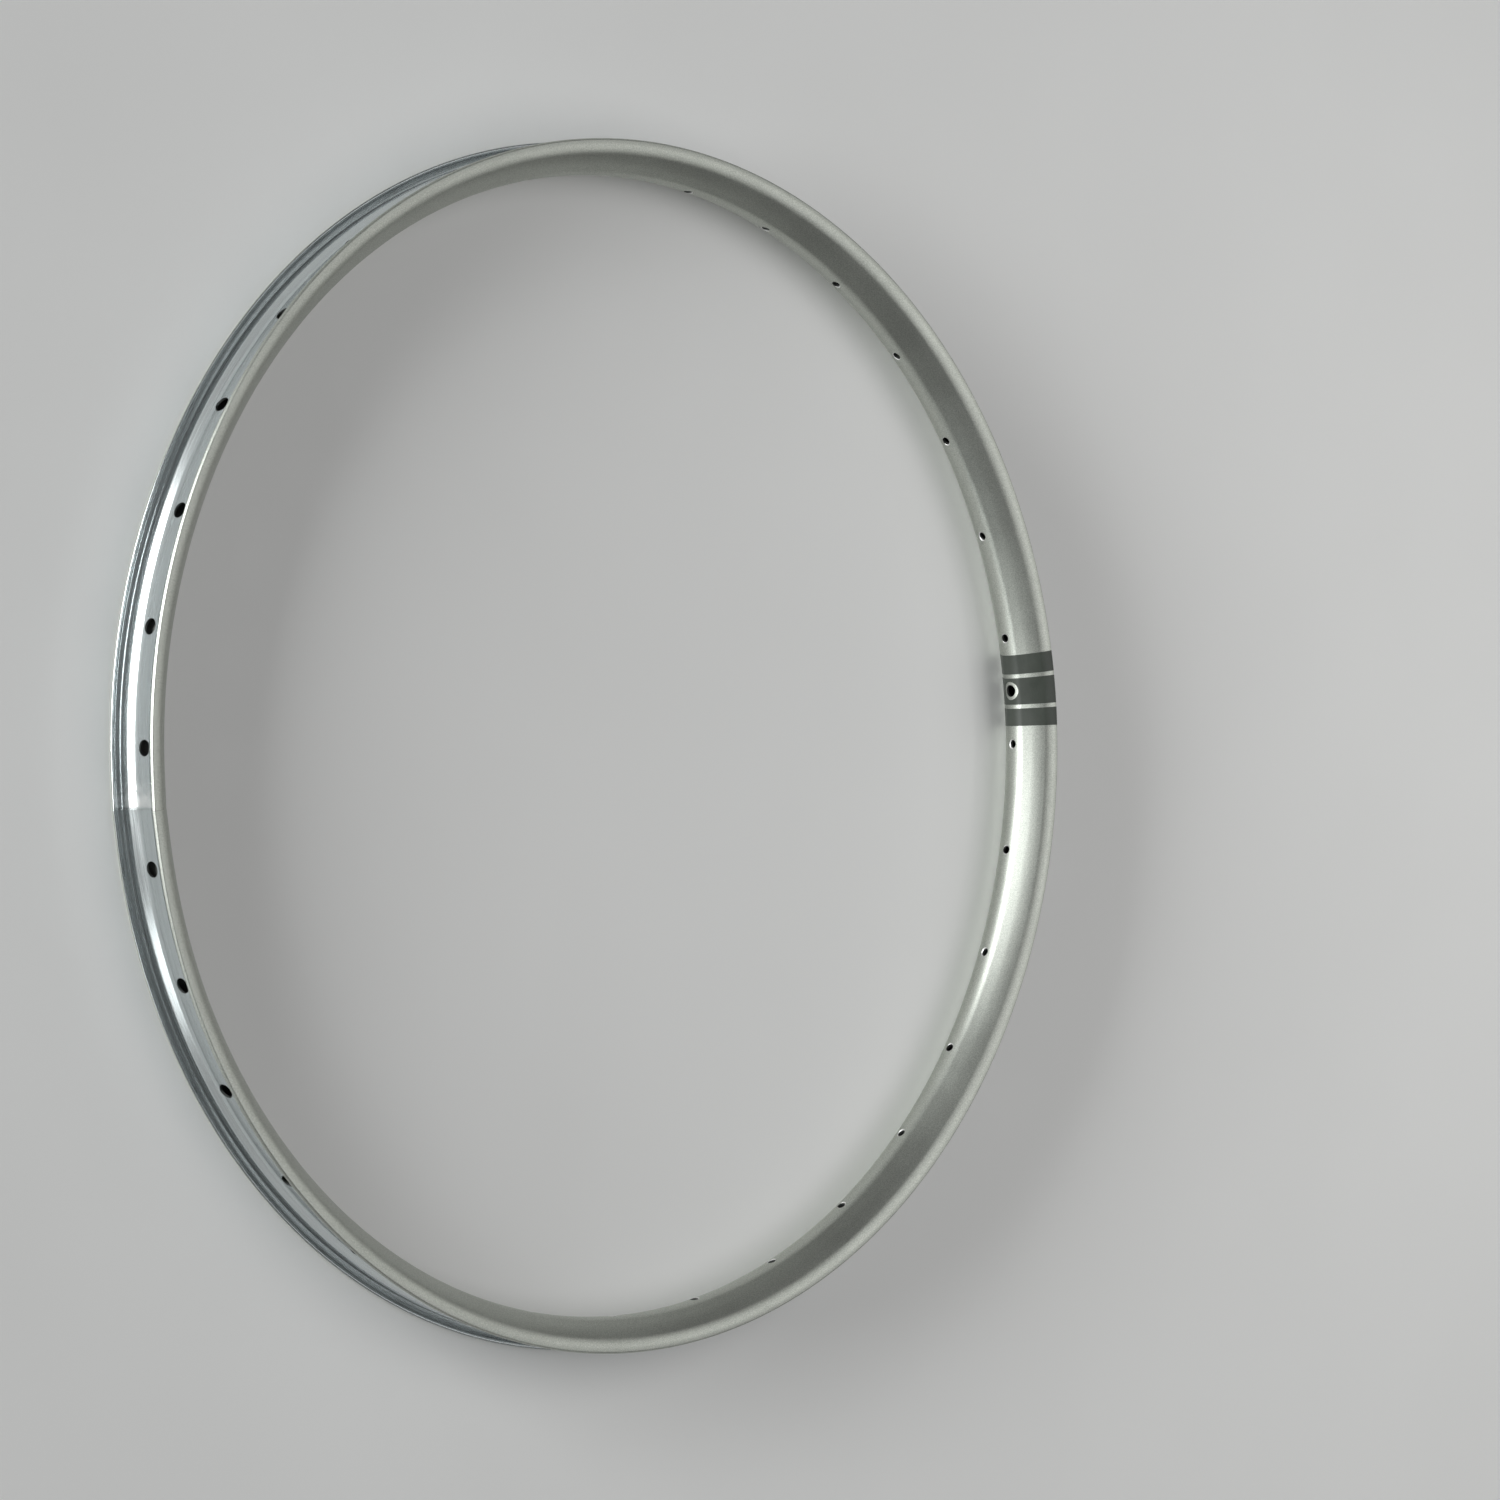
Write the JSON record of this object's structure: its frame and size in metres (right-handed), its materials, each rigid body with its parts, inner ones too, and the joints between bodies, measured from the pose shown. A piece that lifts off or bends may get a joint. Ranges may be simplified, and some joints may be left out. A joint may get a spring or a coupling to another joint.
{
  "type": "bicycle rim",
  "caption": "Hollow double-wall aluminium bicycle rim with bead hooks, alternately leaning spoke holes, a valve hole and a banded decal.",
  "frame": {"origin": "centre of the hoop on its mid-plane", "axes": "+Z along the axle axis, up as the rim lies on its side; +X through the valve hole"},
  "size_m": [0.6329, 0.633, 0.035],
  "materials": {
    "satin_aluminium": "fine blasted and clear anodised, satin",
    "sleeve_aluminium": "plain extruded",
    "decal_film": "thin dark grey film, satin"
  },
  "bodies": {
    "root": {"rim_hoop": "satin_aluminium", "joint_sleeve": "sleeve_aluminium", "decal_upper": "decal_film", "decal_valve": "decal_film", "decal_lower": "decal_film"}
  },
  "joints": []
}
